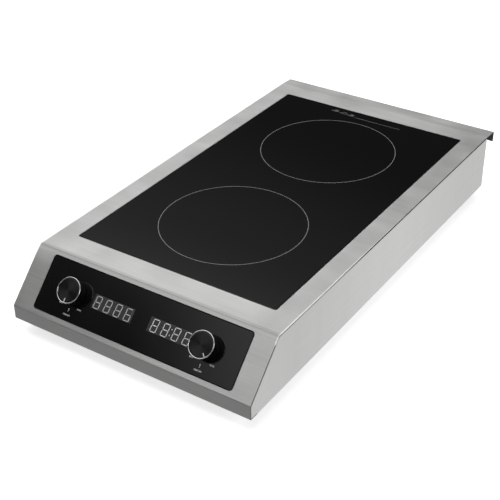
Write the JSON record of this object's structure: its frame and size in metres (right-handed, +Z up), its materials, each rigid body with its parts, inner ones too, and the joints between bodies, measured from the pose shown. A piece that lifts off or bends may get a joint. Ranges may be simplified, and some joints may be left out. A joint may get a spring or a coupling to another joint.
{
  "type": "electric induction cooktop",
  "caption": "Countertop induction cooktop with flush glass plate, front and rear cooking zones, sloped black panel with displays and turning knobs, steel housing on rubber feet.",
  "frame": {"origin": "middle of the footprint, on the surface that the feet stand on", "axes": "+X to the user's right, +Y from the control panel to the rear wall, +Z up"},
  "size_m": [0.36, 0.667, 0.1],
  "materials": {
    "brushed_steel": "brushed along the width",
    "zinc_steel": "zinc-plated sheet, matt",
    "black_glass": "black glass ceramic, polished, with fine grey print",
    "panel_black": "gloss black",
    "smoked_window": "smoked, gloss",
    "silicone": "matt",
    "black_plastic": "fine moulded grain",
    "chrome": "bright",
    "spun_black": "black anodised, spun",
    "white_print": "satin",
    "copper": "enamelled copper wire",
    "heat_plastic": "glass-filled, matt",
    "ferrite": "sintered, matt",
    "mica": "flaky, satin",
    "circuit_green": "solder mask",
    "aluminium": "mill finish",
    "rubber": "matt",
    "capacitor_film": "moulded case"
  },
  "bodies": {
    "root": {"top_cover": "brushed_steel", "base_tray": "brushed_steel", "glass_plate": "black_glass", "glass_seal": "silicone", "glass_ledge": "zinc_steel", "control_panel": "panel_black", "panel_bracket": "zinc_steel", "display_window_left": "smoked_window", "display_window_right": "smoked_window", "display_left": "black_plastic", "display_right": "black_plastic", "control_board": "circuit_green", "pot_left": "zinc_steel", "pot_right": "zinc_steel", "pot_nut_left": "chrome", "pot_nut_right": "chrome", "coil_front": "copper", "coil_rear": "copper", "coil_carrier_front": "heat_plastic", "coil_carrier_rear": "heat_plastic", "ferrite_front": "ferrite", "ferrite_rear": "ferrite", "mica_front": "mica", "mica_rear": "mica", "sensor_front": "heat_plastic", "sensor_rear": "heat_plastic", "coil_shelf": "aluminium", "power_board_left": "circuit_green", "power_board_right": "circuit_green", "heatsink_left": "aluminium", "heatsink_right": "aluminium", "power_transistor_left": "black_plastic", "power_transistor_right": "black_plastic", "capacitor_left": "capacitor_film", "capacitor_right": "capacitor_film", "choke_left": "copper", "choke_right": "copper", "fan_frame_left": "black_plastic", "fan_frame_right": "black_plastic", "foot_front_left": "rubber", "foot_front_right": "rubber", "foot_rear_left": "rubber", "foot_rear_right": "rubber", "cable_gland_left": "black_plastic", "cable_gland_right": "black_plastic", "terminal_block": "heat_plastic", "flange_screw_left": "chrome", "flange_screw_right": "chrome"},
    "left_knob": {"shaft_left": "chrome", "knob_left": "black_plastic", "knob_ring_left": "chrome", "knob_cap_left": "spun_black", "pointer_left": "white_print"},
    "right_knob": {"shaft_right": "chrome", "knob_right": "black_plastic", "knob_ring_right": "chrome", "knob_cap_right": "spun_black", "pointer_right": "white_print"},
    "left_impeller": {"impeller_left": "black_plastic"},
    "right_impeller": {"impeller_right": "black_plastic"}
  },
  "joints": [
    {"name": "left_knob_turn", "type": "hinge", "parent": "root", "child": "left_knob", "pos_m": [-0.1, -0.30322, 0.06981], "axis": [0, -0.7177, 0.6963], "range_deg": [-320, 0]},
    {"name": "right_knob_turn", "type": "hinge", "parent": "root", "child": "right_knob", "pos_m": [0.1, -0.30322, 0.06981], "axis": [0, -0.7177, 0.6963], "range_deg": [0, 320]},
    {"name": "left_impeller_spin", "type": "hinge", "parent": "root", "child": "left_impeller", "pos_m": [-0.079, -0.1675, 0.03], "axis": [0, 0, 1], "continuous": true},
    {"name": "right_impeller_spin", "type": "hinge", "parent": "root", "child": "right_impeller", "pos_m": [0.079, -0.1675, 0.03], "axis": [0, 0, 1], "continuous": true}
  ]
}
